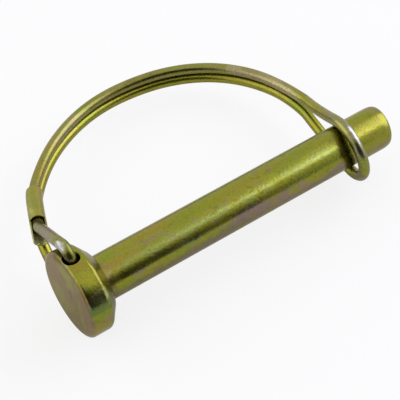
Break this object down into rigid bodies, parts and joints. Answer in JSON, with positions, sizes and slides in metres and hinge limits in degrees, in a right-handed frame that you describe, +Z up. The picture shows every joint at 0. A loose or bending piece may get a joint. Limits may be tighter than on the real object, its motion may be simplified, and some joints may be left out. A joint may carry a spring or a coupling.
{
  "type": "wire lock pin",
  "caption": "Headed round pin in yellow zinc with a sprung wire bail that hinges in the head and hooks round the tip.",
  "frame": {"origin": "foot of the bounding box, below its centre, where the locked pin lies on the floor", "axes": "+X along the pin from head to tip, seen from above; +Y from the pin towards the top of the bail's arch; +Z up"},
  "size_m": [0.1046, 0.0752, 0.0317],
  "materials": {
    "pin_zinc": "yellow zinc passivated, satin, with pink and brown patches",
    "wire_zinc": "yellow zinc passivated, worn silver at the bends",
    "sleeve_zinc": "yellow zinc passivated"
  },
  "bodies": {
    "pin": {"pin": "pin_zinc"},
    "bail": {"bail_wire": "wire_zinc", "ferrule": "sleeve_zinc"}
  },
  "joints": [
    {"name": "bail_swing", "type": "hinge", "parent": "pin", "child": "bail", "pos_m": [-0.04919, -0.0252, 0.01628], "axis": [0.0261, 0.1248, 0.9918], "range_deg": [0, 250], "deforming": ["bail_wire"]}
  ]
}
